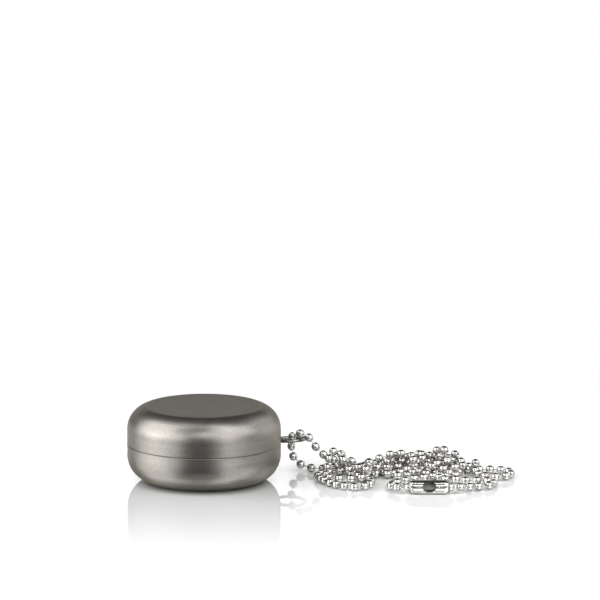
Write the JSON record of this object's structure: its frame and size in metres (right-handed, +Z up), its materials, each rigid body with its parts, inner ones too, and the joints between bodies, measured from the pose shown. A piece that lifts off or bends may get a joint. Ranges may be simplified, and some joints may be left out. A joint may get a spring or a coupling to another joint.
{
  "type": "screw-lid metal capsule on a ball chain",
  "caption": "Round two-part screw-lid metal capsule with a wire eye, strung on a loose ball chain closed by a rolled coupling.",
  "frame": {"origin": "on the floor under the capsule's axis, at the middle of the base's flat foot", "axes": "+Z up along the capsule's axis; the eye and the chain lie towards +X, and the chain coupling lies in front, towards -Y"},
  "size_m": [0.1111, 0.044, 0.0216],
  "materials": {
    "titanium": "fine bead-blasted satin over fine turning, warm grey titanium",
    "wire": "bright drawn steel wire",
    "chain": "bright nickel-plated steel",
    "seal": "matt black nitrile rubber",
    "gasket": "matt translucent white silicone"
  },
  "bodies": {
    "base": {"base_shell": "titanium", "lanyard_eye": "wire", "chain_over_eye": "chain", "chain_front_loop": "chain", "chain_left_lead": "chain", "chain_right_lead": "chain", "chain_right_edge": "chain", "chain_heap_left": "chain", "chain_heap_right": "chain", "chain_coupling": "chain", "end_ball_left": "chain", "end_ball_right": "chain"},
    "gasket": {"gasket": "gasket"},
    "lid_seal": {"o_ring": "seal"},
    "lid": {"lid_shell": "titanium"}
  },
  "joints": [
    {"name": "lid_lift", "type": "slide", "parent": "base", "child": "gasket", "axis": [0, 0, 1], "range_m": [0, 0.025]},
    {"name": "lid_rise", "type": "slide", "parent": "gasket", "child": "lid_seal", "axis": [0, 0, 1], "range_m": [0, 0.00376]},
    {"name": "lid_turn", "type": "hinge", "parent": "lid_seal", "child": "lid", "pos_m": [0, 0, 0.0162], "axis": [0, 0, 1], "range_deg": [0, 540]}
  ],
  "couplings": [
    {"joint": "lid_rise", "follows": "lid_turn", "m_per_rad": 0.00039789}
  ]
}
